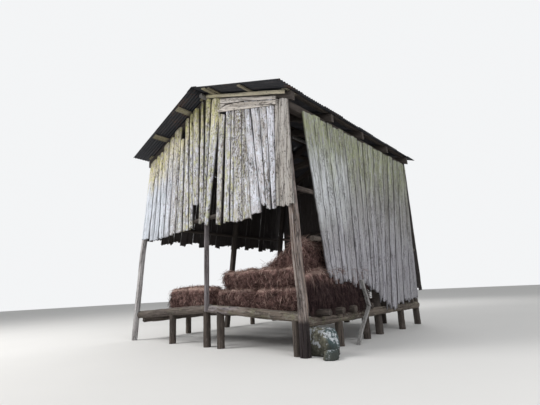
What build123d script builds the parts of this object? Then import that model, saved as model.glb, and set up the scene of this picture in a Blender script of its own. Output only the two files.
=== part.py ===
from build123d import *
import os
from itertools import cycle
from math import atan, ceil, cos, degrees, pi, radians, sin, tan

os.makedirs("parts", exist_ok=True)

# Hay barn on a slope: hewn posts, log sills, split slab walls and a corrugated sheet roof.
# Millimetres. X runs across the gable, Y along the ridge, Z up. The open gable faces -Y.
# The ridge is drawn at X = 0. Each piece is then moved so that the origin is the middle of the
# whole plan, level with the foot of the front right post.

# Driving dimensions of the whole barn
wall_width = 5000
wall_length = 5816
eave_height = 4922
ridge_rise = 941
gable_overhang = 411
eave_overhang = 170
left_lean = radians(10)

# Timbers
slab_thickness = 40
plate_width = 160
plate_depth = 160
tie_width = 160
rafter_width = 100
rafter_depth = 177
rafter_notch = 30
ridge_radius = 58
purlin_thickness = 38
purlin_set_back = 60
rafter_set_back = 50
ridge_pole_reach = 130
rail_radius = 50
post_width = 160
slim_post_width = 130
middle_post_width = 90
middle_post_depth = 110
wane = 40
slim_wane = 20
sill_radius = 88
floor_pole_radius = 65
floor_bedding = 5
king_post_width = 110
stub_radius = 80
sill_set_back = 42
middle_post_foot = 740
joint_gap = 3

# Crooked corner posts: heights, and how far their middle is from the wall's corner, inwards for
# the near post and outwards for the left one
near_post_bends = [(0, 15), (950, 5), (1650, 59), (2440, 69)]
near_post_head = 190
left_post_bends = [(0, 700), (550, 630), (2250, 420)]
left_post_head = -120

# Places of the timbers
front_rail_height = 2790
right_rail_heights = [2060, 2990]
right_rail_set_backs = [658, 248]
bare_floor_poles = [-150, 650, 1450, 2250]
pole_overshoot = 220
pole_overshoot_loss = 55
left_rail_height = 3000
back_rail_heights = [1500, left_rail_height]
side_post_y = 400
rafter_bays = 4
left_purlins = [(660, 150), (1700, 150)]
right_purlins = [(370, 150), (560, 60), (1550, 110)]
inner_purlins = [(150, 100), (2470, 150)]
middle_post_x = -100
side_sill_top = 620
back_sill_top = 640
left_front_sill = (640, 800)
right_front_sill = (790, 630)
front_sill_gap = 20
front_sill_end = -50
front_stubs = [-1500, -190, 265, 2290]
right_stubs = [-1500, -400, 1500]
left_stubs = [-1200, 1500]
back_stubs = [-1300, 1300]

# Roof sheets
sheet_pitch = 76
sheet_wave = 18
sheet_steel = 4
waves_per_sheet = 10
points_per_wave = 4
sheet_stagger = 25
cap_wing = 180

# Hay
soft_gap = 0.3
bale_gap = 20
bale_depth = 540
bale_wear = 60
hay_left = -240
hay_set_back = 368
left_bale_gap = 170
left_bale_width = 1730
left_bale_top = 1300
lower_row_top = 1200
upper_row_top = 1580
upper_row_shift = 210
upper_row_set_back = 40
inner_rows = 3
heap_left = 1250
heap_set_back = 120
heap_depth = 1200
heap_top = 2080
heap_slope = [(60, 70), (480, 270)]
heap_wear = 60
heap_shoulder = (120, 90)
side_hay_width = 242
side_hay_length = 2300
side_hay_top = 1480
side_hay_wear = 50
wall_clearance = 8

# Stones and prop
sill_stone_outline = [(-200, 590), (-185, 330), (-20, 262), (280, 258), (430, 330), (448, 480), (330, 600),
                      (40, 640)]
sill_stone_middle = (130, 440)
sill_stone_levels = [(0, 0.94), (0.4, 1), (0.75, 0.95), (1, 0.8)]
low_stone_outline = [(330, 60), (440, 20), (570, 80), (565, 240), (470, 400), (330, 330)]
low_stone_height = 140
low_stone_taper = 14
prop_width = 70
prop_bends = [(90, -1250, 0), (60, -1050, 230), (30, -540, 690), (0, -710, 1250)]

# Corners and heads of the walls
corner_overhang = 40
corner_opening = 483
corner_opening_below = 983
side_head_gap = 16
slab_head_gap = 64
verge_start = 85
verge_drop = 90
boarded_start = 470
boarded_drop = 150
narrowest_slab = 30
front_count_levels = (4800, 2600)
right_count_level = 1200
left_count_level = 2600
back_count_level = 1200

# Sloping boards over the heads of the front right slabs: places along the gable, and how far
# each edge there is under the roof line
board_thickness = 30
board_set_back = 230
upper_board_head = [(620, 135), (700, 113)]
upper_board_foot = [(600, 378), (780, 269), (1310, 213)]
lower_board_head = [(500, 440), (620, 386), (825, 297), (1310, 228)]
lower_board_foot = (500, 480)
board_end_drops = (125, 200, 215, 327)

# Slabs of the walls: each cut is a slab's gap and width at its head, its gap and width at its
# lower end, how far its head stays under the roof, and the height of its lower end
front_cuts = [
    (60, 300, 80, 326, 150, 2615), (4, 157, 68, 195, 150, 2547), (4, 156, 16, 189, 175, 2521),
    (4, 265, 45, 217, 71, 2568), (30, 197, 40, 211, 89, 2560), (12, 283, 40, 223, 30, 2576),
    (19, 149, 40, 249, 457, 2590), (29, 172, 50, 227, 24, 2592), (34, 132, 19, 140, 30, 2612),
    (18, 203, 20, 192, 26, 3159), (76, 127, 22, 188, 34, 2669), (68, 155, 4, 40, 12, 2700),
    (37, 265, 6, 92, 18, 2623), (41, 202, 284, 165, 360, 2544), (46, 168, 101, 169, 196, 2573),
    (9, 104, 26, 89, 190, 2547), (9, 212, 15, 280, 204, 2521), (6, 108, 4, 254, 198, 2531),
    (7, 150, 8, 264, 8, 2593), (31, 232, 18, 115, 6, 2724), (8, 189, 14, 96, 10, 2622),
    (8, 217, 45, 100, 6, 2610), (10, 110, 10, 80, 38, 2635), (4, 216, 4, 364, 30, 2609),
]
right_cuts = [
    (0, 395, 0, 120, 40, 1330), (6, 245, 6, 170, 0, 1225), (6, 259, 6, 220, 30, 1210),
    (6, 238, 6, 188, 10, 1190), (6, 222, 6, 152, 45, 1180), (6, 250, 8, 225, 0, 1125),
    (22, 340, 30, 190, 25, 1120), (8, 290, 6, 276, 5, 1090), (6, 262, 6, 155, 40, 1060),
    (6, 270, 6, 155, 15, 1000), (6, 296, 6, 190, 0, 900), (6, 286, 6, 185, 30, 800),
    (6, 296, 6, 180, 10, 700), (10, 310, 10, 270, 20, 620), (20, 310, 25, 285, 0, 530),
    (20, 320, 30, 400, 35, 620), (20, 460, 30, 440, 10, 680), (6, 60, 10, 450, 30, 700),
]
left_cuts = [
    (6, 230, 6, 235, 20, 2600), (8, 180, 7, 190, 0, 2540), (10, 260, 9, 240, 35, 2630),
    (6, 150, 7, 160, 10, 2570), (9, 210, 8, 225, 30, 2520), (7, 270, 8, 255, 0, 2650),
]
back_cuts = [
    (5, 240, 5, 250, 40, 980), (6, 190, 6, 185, 15, 900), (4, 280, 6, 270, 60, 1040),
    (6, 170, 5, 190, 20, 860), (5, 220, 4, 215, 35, 940), (6, 250, 6, 240, 12, 1010),
    (5, 150, 5, 160, 90, 890),
]

# Derived lines of the frame
half_width = wall_width / 2
half_length = wall_length / 2
slope = atan(ridge_rise / half_width)
face_back = half_length - slab_thickness
side_back = half_width - slab_thickness
rafter_drop = rafter_depth / cos(slope)


def roof_line(x):
    """Height of the rafters' upper side at a distance x from the ridge line."""
    return eave_height + ridge_rise * (1 - abs(x) / half_width)


plate_top = roof_line(side_back) - rafter_drop + rafter_notch


def left_face(z, inset=0):
    """Place at a height of the leaning left wall's face, or of a plane further in."""
    seat = -side_back - (plate_top - z) * tan(left_lean)
    return seat + (inset - slab_thickness) / cos(left_lean)


plate_bottom = plate_top - plate_depth
plate_x = side_back - plate_width / 2
tie_y = face_back - tie_width / 2
left_post_inset = slab_thickness + 2 * rail_radius
right_post_face = side_back - 2 * rail_radius
roof_half_length = half_length + gable_overhang
ridge_peak = roof_line(0)
ridge_z = ridge_peak - ridge_radius


# Places of the crooked corner posts, from foot to head, and the middle of the whole plan
near_post_line = [(half_width - inward, z) for z, inward in near_post_bends]
near_post_line.append((half_width - near_post_head, plate_bottom))
left_post_line = [(-half_width - outward, z) for z, outward in left_post_bends]
left_post_line.append((-half_width - left_post_head, plate_bottom))


def middle_at(line, z):
    """Place across the gable of a crooked post's middle at a height."""
    for (low_x, low), (high_x, high) in zip(line, line[1:]):
        if low <= z <= high:
            return low_x + (high_x - low_x) * (z - low) / (high - low)


outermost_stone = half_width + max(x for x, _ in low_stone_outline)
outermost_foot = left_post_line[0][0] - slim_post_width / 2
plan_middle = (outermost_stone + outermost_foot) / 2


def hewn(x, y, z, width, depth, corner=wane):
    """Level section of a hewn post, with its four corners left round as wane."""
    with BuildSketch(Plane.XY.offset(z)) as section:
        with Locations((x, y)):
            Rectangle(width, depth)
        chamfer(section.vertices(), corner)
    return section.sketch


def hewn_square(x, y, z, width):
    """Level section of a thin crooked timber."""
    with BuildSketch(Plane.XY.offset(z)) as section:
        with Locations((x, y)):
            Rectangle(width, width)
    return section.sketch


def pole(start, end, butt, tip, sides=8, turn=0):
    """Straight pole with flat sides. One side faces down, unless it is turned."""
    along = Vector(*end) - Vector(*start)
    level = Vector(0, 0, 1).cross(along)
    with BuildPart() as timber:
        with BuildSketch(Plane(start, x_dir=level, z_dir=along)):
            RegularPolygon(butt, sides, major_radius=False, rotation=180 / sides - 90 + turn)
        with BuildSketch(Plane(end, x_dir=level, z_dir=along)):
            RegularPolygon(tip, sides, major_radius=False, rotation=180 / sides - 90 + turn)
        loft()
    return timber.part


def keep(timber, name):
    """Move one finished piece from the ridge's place to the plan's middle, label it and write it."""
    placed = timber.moved(Location((-plan_middle, 0, 0)))
    placed.label = name
    export_step(placed, f"parts/{name}.step")


# Wall plates along both eaves, and the ties across them
with BuildPart() as right_plate:
    with Locations((plate_x, 0, plate_bottom)):
        Box(plate_width, 2 * face_back, plate_depth, align=(Align.CENTER, Align.CENTER, Align.MIN))
    chamfer(right_plate.edges().filter_by(Axis.Y).group_by(Axis.Z)[0], wane / 2)
keep(right_plate.part, "right_wall_plate")

with BuildPart() as left_plate:
    add(mirror(right_plate.part, about=Plane.YZ))
keep(left_plate.part, "left_wall_plate")

tie_span = 2 * (plate_x - plate_width / 2)
tie_places = [-tie_y, side_post_y, tie_y]
with BuildPart() as tie_beams:
    for y in tie_places:
        with Locations((0, y, plate_bottom)):
            Box(tie_span, tie_width, plate_depth, align=(Align.CENTER, Align.CENTER, Align.MIN))
    chamfer(tie_beams.edges().filter_by(Axis.X).group_by(Axis.Z)[0], wane / 2)
keep(tie_beams.part, "tie_beams")

# Ridge pole, whose front end stands out under the sheets, and the king posts that carry it
ridge_reach = half_length + ridge_pole_reach
with BuildPart() as ridge_pole:
    add(pole((0, -ridge_reach, ridge_z), (0, ridge_reach, ridge_z), ridge_radius, ridge_radius, 12))
keep(ridge_pole.part, "ridge_pole")

with BuildPart() as king_posts:
    for y in tie_places:
        with Locations((0, y, plate_top)):
            Box(king_post_width, king_post_width, ridge_z - plate_top,
                align=(Align.CENTER, Align.CENTER, Align.MIN))
    add(ridge_pole.part, mode=Mode.SUBTRACT)
keep(king_posts.part, "king_posts")

# Rafters, one pair over each end and at every bay, notched over the plates
rafter_foot = half_width + eave_overhang - rafter_set_back
rafter_step = 2 * (face_back - rafter_width / 2) / rafter_bays
with BuildPart() as right_rafters:
    with BuildSketch(Plane.XZ.offset(face_back - rafter_width)):
        with BuildLine():
            Polyline((0, ridge_peak), (rafter_foot, roof_line(rafter_foot)),
                     (rafter_foot, roof_line(rafter_foot) - rafter_drop),
                     (0, ridge_peak - rafter_drop), close=True)
        make_face()
    extrude(amount=rafter_width)
    one_rafter = right_rafters.part
    for bay in range(1, rafter_bays + 1):
        add(one_rafter.moved(Location((0, bay * rafter_step, 0))))
    add([right_plate.part, ridge_pole.part, king_posts.part], mode=Mode.SUBTRACT)
keep(right_rafters.part, "right_rafters")

with BuildPart() as left_rafters:
    add(mirror(right_rafters.part, about=Plane.YZ))
keep(left_rafters.part, "left_rafters")


def roof_plane(side, lift, x=0):
    """Plane on one slope, lifted off the rafters, its X running down and its Z out of the roof."""
    down = Vector(side * cos(slope), 0, -sin(slope))
    out = Vector(side * sin(slope), 0, cos(slope))
    place = Vector(side * x, 0, roof_line(x)) + out * lift
    return Plane(place, x_dir=down, z_dir=out)


# Purlin planks lying flat on the rafters: some reach out under the verges, the inner ones
# stop at the gables
verge_reach = roof_half_length - purlin_set_back
for side, name, planks in ((1, "right_purlins", right_purlins), (-1, "left_purlins", left_purlins)):
    runs = [(x, width, verge_reach) for x, width in planks]
    runs += [(x, width, half_length) for x, width in inner_purlins]
    with BuildPart() as purlins:
        for x, width, reach in runs:
            with BuildSketch(roof_plane(side, 0, x)):
                Rectangle(width, 2 * reach)
            extrude(amount=purlin_thickness)
    keep(purlins.part, name)

# Corrugated sheets side by side down each slope, and the folded cap over the ridge
sheet_width = waves_per_sheet * sheet_pitch
sheet_count = ceil((2 * roof_half_length) / sheet_width)
slope_length = (half_width + eave_overhang) / cos(slope)


def wave(t):
    """Height of the sheet's underside, with t counted in waves from a trough."""
    return sheet_wave / 2 * (1 - cos(2 * pi * t))


with BuildPart() as right_sheets:
    for sheet in range(sheet_count):
        first = -roof_half_length + sheet * sheet_width
        last = min(first + sheet_width, roof_half_length) - joint_gap
        steps = ceil((last - first) / sheet_pitch * points_per_wave)
        step = (last - first) / steps
        under = [(first + i * step, wave(i * step / sheet_pitch)) for i in range(steps + 1)]
        over = [(y, z + sheet_steel) for y, z in reversed(under)]
        ridge_end = roof_plane(1, purlin_thickness)
        with BuildSketch(Plane(ridge_end.origin, x_dir=(0, 1, 0), z_dir=ridge_end.x_dir)):
            with BuildLine():
                Polyline(under + over, close=True)
            make_face()
        extrude(amount=slope_length - (sheet % 2) * sheet_stagger)
keep(right_sheets.part, "right_roof_sheets")

with BuildPart() as left_sheets:
    add(mirror(right_sheets.part, about=Plane.YZ))
keep(left_sheets.part, "left_roof_sheets")

cap_seat = (purlin_thickness + sheet_wave + sheet_steel) / cos(slope)
with BuildPart() as ridge_cap:
    with BuildSketch(Plane.XZ.offset(-roof_half_length)):
        with BuildLine():
            Polyline((-cap_wing, roof_line(cap_wing) + cap_seat), (0, ridge_peak + cap_seat),
                     (cap_wing, roof_line(cap_wing) + cap_seat),
                     (cap_wing, roof_line(cap_wing) + cap_seat + sheet_steel),
                     (0, ridge_peak + cap_seat + sheet_steel),
                     (-cap_wing, roof_line(cap_wing) + cap_seat + sheet_steel), close=True)
        make_face()
    extrude(amount=2 * roof_half_length)
keep(ridge_cap.part, "ridge_cap")

# Posts that reach from the ground to the plates and ties. The two at the front corners are crooked.
front_y = -face_back + post_width / 2
slim_front_y = -face_back + slim_post_width / 2
left_foot_x = left_face(0, left_post_inset) + post_width / 2
left_head_x = left_face(plate_bottom, left_post_inset) + post_width / 2
right_x = right_post_face - post_width / 2
standing = {}
crooked_posts = (("front_right_post", near_post_line, front_y, post_width, wane),
                 ("front_left_post", left_post_line, slim_front_y, slim_post_width, slim_wane))
for name, line, y, width, corner in crooked_posts:
    with BuildPart() as post:
        loft(sections=[hewn(x, y, z, width, width, corner) for x, z in line], ruled=True)
    standing[name] = post.part
    keep(post.part, name)

for name, foot_x, head_x in (("left_side_post", left_foot_x, left_head_x),
                             ("right_side_post", right_x, right_x)):
    with BuildPart() as post:
        loft(sections=[hewn(foot_x, side_post_y, 0, post_width, post_width),
                       hewn(head_x, side_post_y, plate_bottom, post_width, post_width)])
    standing[name] = post.part
    keep(post.part, name)

with BuildPart() as back_posts:
    for foot_x, head_x in [(left_foot_x, left_head_x), (right_x, right_x), (0, 0)]:
        loft(sections=[hewn(foot_x, -front_y, 0, post_width, post_width),
                       hewn(head_x, -front_y, plate_bottom, post_width, post_width)])
keep(back_posts.part, "back_posts")
corner_posts = list(standing.values()) + [back_posts.part]

# Log sills between the posts, and the stubs under them
sill_y = -face_back + sill_set_back + sill_radius
middle_joint = front_sill_end - front_sill_gap
front_left_ends = ((middle_at(left_post_line, left_front_sill[0]), sill_y, left_front_sill[0]),
                   (middle_joint, sill_y, left_front_sill[1]))
front_right_ends = ((front_sill_end, sill_y, right_front_sill[0]),
                    (middle_at(near_post_line, right_front_sill[1]), sill_y, right_front_sill[1]))
left_sill_x = left_face(side_sill_top, left_post_inset) + post_width / 2
right_sill_x = side_back - sill_radius
sill_butt = -sill_y - sill_radius
side_sill_z = side_sill_top - sill_radius
back_sill_z = back_sill_top - sill_radius
sills = {
    "front_sills": [front_left_ends, front_right_ends],
    "left_sill": [((left_sill_x, -sill_butt, side_sill_z), (left_sill_x, sill_butt, side_sill_z))],
    "right_sill": [((right_sill_x, -sill_butt, side_sill_z), (right_sill_x, sill_butt, side_sill_z))],
    "back_sill": [((left_sill_x, -sill_y, back_sill_z), (right_x, -sill_y, back_sill_z))],
}
sill_logs = []
for name, runs in sills.items():
    with BuildPart() as sill:
        for start, end in runs:
            add(pole(start, end, sill_radius, sill_radius, 12))
        add(corner_posts, mode=Mode.SUBTRACT)
    sill_logs.append(sill.part)
    keep(sill.part, name)

# The slim middle post laps over the sill, and stands on it
middle_post_y = -face_back + middle_post_depth / 2
with BuildPart() as front_middle_post:
    loft(sections=[hewn(middle_post_x, middle_post_y, z, middle_post_width, middle_post_depth, slim_wane)
                   for z in (middle_post_foot, plate_bottom)])
    add(sill_logs, mode=Mode.SUBTRACT)
keep(front_middle_post.part, "front_middle_post")


def sill_height(x, ends):
    """Height of a sloping sill's middle at a place along it."""
    (start, _, low), (stop, _, high) = ends
    return low + (high - low) * (x - start) / (stop - start)


stub_places = [(x, sill_y, sill_height(x, front_left_ends if x < 0 else front_right_ends))
               for x in front_stubs]
stub_places += [(right_sill_x, y, side_sill_z) for y in right_stubs]
stub_places += [(left_sill_x, y, side_sill_z) for y in left_stubs]
stub_places += [(x, -sill_y, back_sill_z) for x in back_stubs]
with BuildPart() as sill_stubs:
    for x, y, z in stub_places:
        with Locations((x, y, 0)):
            Cylinder(stub_radius, z, align=(Align.CENTER, Align.CENTER, Align.MIN))
    add(sill_logs + corner_posts, mode=Mode.SUBTRACT)
keep(sill_stubs.part, "sill_stubs")

# Where the hay lies between the walls, seen from above
hay_front = hay_set_back - face_back
side_hay_left = side_back - wall_clearance - side_hay_width
hay_right = side_hay_left - bale_gap
left_bale_start = hay_left - left_bale_gap - left_bale_width

# Floor poles bedded on the two side sills: one under each row of bales, then the bare ones.
# The right ends stand out of the open corner.
bale_pitch = bale_depth + bale_gap
hay_poles = [hay_front + bale_depth / 2 + row * bale_pitch for row in range(inner_rows + 1)]
overshoots = [pole_overshoot - row * pole_overshoot_loss for row in range(len(hay_poles))]
overshoots += [-joint_gap] * len(bare_floor_poles)
bed = floor_pole_radius - floor_bedding
with BuildPart() as floor_poles:
    for y, overshoot in zip(hay_poles + bare_floor_poles, overshoots):
        left_end = (left_sill_x - sill_radius, y, side_sill_top + bed)
        right_end = (side_back + overshoot, y, side_sill_top + bed)
        add(pole(left_end, right_end, floor_pole_radius, floor_pole_radius, 8))
    add(sill_logs + corner_posts, mode=Mode.SUBTRACT)
keep(floor_poles.part, "floor_poles")

# Rails that the slabs are nailed to
rail_y = face_back - rail_radius
front_posts = [standing["front_left_post"], standing["front_right_post"], front_middle_post.part]
with BuildPart() as front_rail:
    add(pole((middle_at(left_post_line, front_rail_height), -rail_y, front_rail_height),
             (middle_at(near_post_line, front_rail_height), -rail_y, front_rail_height),
             rail_radius, rail_radius))
    add(front_posts, mode=Mode.SUBTRACT)
keep(front_rail.part, "front_rail")

with BuildPart() as back_rails:
    for z in back_rail_heights:
        add(pole((left_face(z, left_post_inset) + wane, rail_y, z),
                 (right_x, rail_y, z), rail_radius, rail_radius))
    add(back_posts.part, mode=Mode.SUBTRACT)
keep(back_rails.part, "back_rails")

with BuildPart() as right_rails:
    for set_back, z in zip(right_rail_set_backs, right_rail_heights):
        add(pole((side_back - rail_radius, set_back - half_length, z),
                 (side_back - rail_radius, face_back, z), rail_radius, rail_radius))
    add(corner_posts, mode=Mode.SUBTRACT)
keep(right_rails.part, "right_rails")

left_wall_start = -face_back + slim_post_width + joint_gap
with BuildPart() as left_rail:
    x = left_face(left_rail_height, slab_thickness + rail_radius)
    add(pole((x, left_wall_start, left_rail_height), (x, face_back, left_rail_height),
             rail_radius, rail_radius, turn=degrees(left_lean)))
keep(left_rail.part, "left_rail")


def lay(cuts, heads, feet, levels):
    """Lay slabs along a wall until its corner, and return each one's two edges as lines.

    heads is where the row starts and the corner it stops at, feet where its lower ends start,
    and levels the two heights at which the widths and gaps are counted.
    """
    head, foot = heads[0], feet
    laid = []
    for head_gap, head_width, foot_gap, foot_width, drop, end in cycle(cuts):
        head += head_gap
        foot += foot_gap
        width = min(head_width, heads[1] - head)
        end_width = min(foot_width, heads[1] - foot)
        if min(width, end_width) < narrowest_slab:
            return laid
        laid.append(((head, foot), (head + width, foot + end_width), levels, drop, end))
        head += width
        foot += end_width


def edge(line, levels, z):
    """Place of a slab's leaning edge at a height."""
    (head, foot), (upper, lower) = line, levels
    return foot + (head - foot) * (z - lower) / (upper - lower)


def slab_outline(slab, plane, top, stretch=1):
    """Face of one slab: its leaning edges, its head cut to the line of the top, its lower end."""
    left, right, levels, drop, end = slab
    corners = []
    for line in (left, right):
        z = levels[0]
        for _ in range(5):
            z = top(edge(line, levels, z)) - drop
        corners.append((edge(line, levels, z), z * stretch))
    for line in (right, left):
        corners.append((edge(line, levels, end), end * stretch))
    with BuildSketch(plane) as outline:
        with BuildLine():
            Polyline(corners, close=True)
        make_face()
    return outline.sketch


def verge_line(x):
    """Lower edge of the verge plank on the front right slope."""
    return roof_line(x) - verge_drop


def under_roof(x):
    """Line of the slabs' heads where nothing covers them."""
    return roof_line(x) - slab_head_gap


def under_boards(x):
    """Line of the slabs' heads behind the sloping boards."""
    return roof_line(x) - boarded_drop


# Front gable slabs: those left of the wide dark gap, and those right of it
front_slabs = lay(front_cuts, (-half_width, half_width + corner_overhang),
                  left_face(front_count_levels[1]), front_count_levels)
front_plane = Plane.XZ.offset(face_back)
for name, side in (("front_slabs_left", False), ("front_slabs_right", True)):
    with BuildPart() as slabs:
        for slab in front_slabs:
            if (slab[0][0] > boarded_start) == side:
                under_plank = slab[1][0] > verge_start
                top = under_boards if side else verge_line if under_plank else under_roof
                extrude(to_extrude=slab_outline(slab, front_plane, top), amount=slab_thickness)
        add(ridge_pole.part, mode=Mode.SUBTRACT)
    keep(slabs.part, name)

# Verge plank nailed under the purlins, and the two sloping boards over the slabs' heads
board_plane = Plane.XZ.offset(half_length)
with BuildPart() as verge_plank:
    with BuildSketch(board_plane):
        with BuildLine():
            Polyline((verge_start, roof_line(verge_start)), (half_width, roof_line(half_width)),
                     (half_width, verge_line(half_width)), (verge_start, verge_line(verge_start)),
                     close=True)
        make_face()
    extrude(amount=board_thickness)
keep(verge_plank.part, "verge_plank")

board_end = half_width - board_set_back
upper_top, upper_foot, lower_top, lower_foot = [(board_end, drop) for drop in board_end_drops]
boards = (upper_board_head + [upper_top, upper_foot] + upper_board_foot[::-1],
          lower_board_head + [lower_top, lower_foot, lower_board_foot])
with BuildPart() as top_boards:
    for corners in boards:
        with BuildSketch(board_plane):
            with BuildLine():
                Polyline([(x, roof_line(x) - drop) for x, drop in corners], close=True)
            make_face()
        extrude(amount=board_thickness)
keep(top_boards.part, "top_boards")


def side_top(z):
    """Heads of the side slabs stop under the rafters' feet."""
    return side_slab_top


# Right wall: slabs beyond the open corner, in a front and a back half
side_slab_top = roof_line(half_width) - rafter_drop - side_head_gap
right_slabs = lay(right_cuts, (corner_opening - face_back, face_back),
                  corner_opening_below - face_back, (side_slab_top, right_count_level))
right_plane = Plane.YZ.offset(side_back)
for name, side in (("right_slabs_front", False), ("right_slabs_back", True)):
    with BuildPart() as slabs:
        for slab in right_slabs:
            if (slab[0][0] > 0) == side:
                extrude(to_extrude=slab_outline(slab, right_plane, side_top), amount=slab_thickness)
    keep(slabs.part, name)

# Left wall: slabs on the leaning plane, whose own X runs against the row's Y
left_slabs = lay(left_cuts, (-face_back, -left_wall_start), -face_back, (side_slab_top, left_count_level))
left_plane = Plane((left_face(0, slab_thickness), 0, 0), x_dir=(0, -1, 0),
                   z_dir=(-cos(left_lean), 0, sin(left_lean)))
with BuildPart() as left_wall_slabs:
    for slab in left_slabs:
        outline = slab_outline(slab, left_plane, side_top, 1 / cos(left_lean))
        extrude(to_extrude=outline, amount=slab_thickness)
keep(left_wall_slabs.part, "left_slabs")

# Back gable
back_slabs = lay(back_cuts, (-half_width, half_width), -half_width, (plate_top, back_count_level))
back_plane = Plane.XZ.offset(-half_length)
with BuildPart() as back_wall_slabs:
    for slab in back_slabs:
        extrude(to_extrude=slab_outline(slab, back_plane, roof_line), amount=slab_thickness)
    add(ridge_pole.part, mode=Mode.SUBTRACT)
keep(back_wall_slabs.part, "back_slabs")


def bale(left, front, width, low, high):
    """One bale with its edges worn off, from its left front lower corner."""
    with BuildPart() as block:
        with Locations((left, front, low)):
            Box(width, bale_depth, high - low, align=(Align.MIN, Align.MIN, Align.MIN))
        chamfer(block.edges(), bale_wear)
    return block.part


# Hay on the floor poles: rows of bales, a loose heap, and hay packed along the right wall
row_width = (hay_right - hay_left - bale_gap) / 2
hay_floor = side_sill_top + bed + floor_pole_radius + soft_gap
with BuildPart() as left_bale:
    add(bale(left_bale_start, hay_front, left_bale_width, hay_floor, left_bale_top))
keep(left_bale.part, "hay_left_bale")

with BuildPart() as lower_row:
    for i in range(2):
        add(bale(hay_left + i * (row_width + bale_gap), hay_front, row_width, hay_floor, lower_row_top))
keep(lower_row.part, "hay_lower_row")

upper_left = hay_left + upper_row_shift
upper_width = (hay_right - upper_left - bale_gap) / 2
with BuildPart() as upper_row:
    for i in range(2):
        add(bale(upper_left + i * (upper_width + bale_gap), hay_front + upper_row_set_back, upper_width,
                 lower_row_top + soft_gap, upper_row_top))
keep(upper_row.part, "hay_upper_row")

with BuildPart() as inner_bales:
    for row in range(1, inner_rows + 1):
        for i in range(2):
            front = hay_front + row * bale_pitch
            add(bale(hay_left + i * (row_width + bale_gap), front, row_width, hay_floor, lower_row_top))
            if row < inner_rows:
                add(bale(upper_left + i * (upper_width + bale_gap), front + upper_row_set_back,
                         upper_width, lower_row_top + soft_gap, upper_row_top))
keep(inner_bales.part, "hay_inner_bales")

heap_floor = upper_row_top + soft_gap
with BuildPart() as loose_hay:
    with BuildSketch(Plane.XZ.offset(-hay_front - heap_set_back)):
        with BuildLine():
            Polyline([(heap_left, heap_floor)]
                     + [(heap_left + across, heap_floor + up) for across, up in heap_slope]
                     + [(hay_right - heap_shoulder[0], heap_top), (hay_right, heap_top - heap_shoulder[1]),
                        (hay_right, heap_floor)], close=True)
        make_face()
    extrude(amount=-heap_depth)
    chamfer(loose_hay.edges().filter_by(Axis.Y, reverse=True).group_by(Axis.Z)[1:], heap_wear)
keep(loose_hay.part, "loose_hay")

with BuildPart() as side_hay:
    with Locations((side_hay_left, hay_front + bale_gap, hay_floor)):
        Box(side_hay_width, side_hay_length, side_hay_top - hay_floor,
            align=(Align.MIN, Align.MIN, Align.MIN))
    chamfer(side_hay.edges(), side_hay_wear)
keep(side_hay.part, "side_hay")

# Two stones at the near corner: a boulder under the end of the right sill, and a low one against it


def stone_section(share, z):
    """Level section of the boulder, drawn in towards its middle by a share."""
    middle_x, middle_y = sill_stone_middle
    with BuildSketch(Plane.XY.offset(z)) as section:
        with BuildLine():
            Polyline([(half_width + middle_x + share * (x - middle_x),
                       middle_y + share * (y - middle_y) - half_length)
                      for x, y in sill_stone_outline], close=True)
        make_face()
    return section.sketch


with BuildPart() as sill_stone:
    loft(sections=[stone_section(share, z * (side_sill_top - 2 * sill_radius))
                   for z, share in sill_stone_levels], ruled=True)
keep(sill_stone.part, "sill_stone")

with BuildPart() as low_stone:
    with BuildSketch():
        with BuildLine():
            Polyline([(half_width + x, y - half_length) for x, y in low_stone_outline], close=True)
        make_face()
    extrude(amount=low_stone_height, taper=low_stone_taper)
    add(sill_stone.part, mode=Mode.SUBTRACT)
keep(low_stone.part, "low_stone")

# Crooked prop against the outside of the right wall
with BuildPart() as crooked_prop:
    loft(sections=[hewn_square(half_width + out + prop_width / 2, y, z, prop_width)
                   for out, y, z in prop_bends], ruled=True)
keep(crooked_prop.part, "crooked_prop")
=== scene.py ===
import bmesh
import bpy
import random
from bisect import bisect_left
from itertools import accumulate
from math import atan2, ceil, cos, exp, hypot, pi, radians, sin, tan
from mathutils import Matrix, Vector, kdtree, noise


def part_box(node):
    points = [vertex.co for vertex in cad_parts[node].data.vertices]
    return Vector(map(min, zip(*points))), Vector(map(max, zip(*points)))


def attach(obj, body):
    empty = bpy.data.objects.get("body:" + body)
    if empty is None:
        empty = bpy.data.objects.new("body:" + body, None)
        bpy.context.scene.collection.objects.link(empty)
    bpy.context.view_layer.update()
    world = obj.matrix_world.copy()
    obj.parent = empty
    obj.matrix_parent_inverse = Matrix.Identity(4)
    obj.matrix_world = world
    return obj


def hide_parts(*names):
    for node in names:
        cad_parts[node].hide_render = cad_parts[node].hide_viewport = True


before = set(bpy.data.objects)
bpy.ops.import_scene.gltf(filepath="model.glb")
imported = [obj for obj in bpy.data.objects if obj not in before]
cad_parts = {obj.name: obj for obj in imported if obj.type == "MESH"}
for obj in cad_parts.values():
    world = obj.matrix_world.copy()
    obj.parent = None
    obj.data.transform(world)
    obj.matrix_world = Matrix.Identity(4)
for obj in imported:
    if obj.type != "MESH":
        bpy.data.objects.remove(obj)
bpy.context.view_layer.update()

# The ridge's place across the gable, how steeply the roof falls from it, and how far a metre down
# the slope goes outward and downward
ridge_x = sum(corner[0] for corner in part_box("ridge_pole")) / 2
roof_slope = 0.3599
outward, downward = cos(roof_slope), sin(roof_slope)

# How near points lie that are merged, and how near a cut counts as touching
merge_distance = 2e-5
cut_distance = 1e-5


# Camera and lamps

def placed(name, data):
    """A new object in the scene, at the origin."""
    made = bpy.data.objects.new(name, data)
    bpy.context.scene.collection.objects.link(made)
    return made


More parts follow.
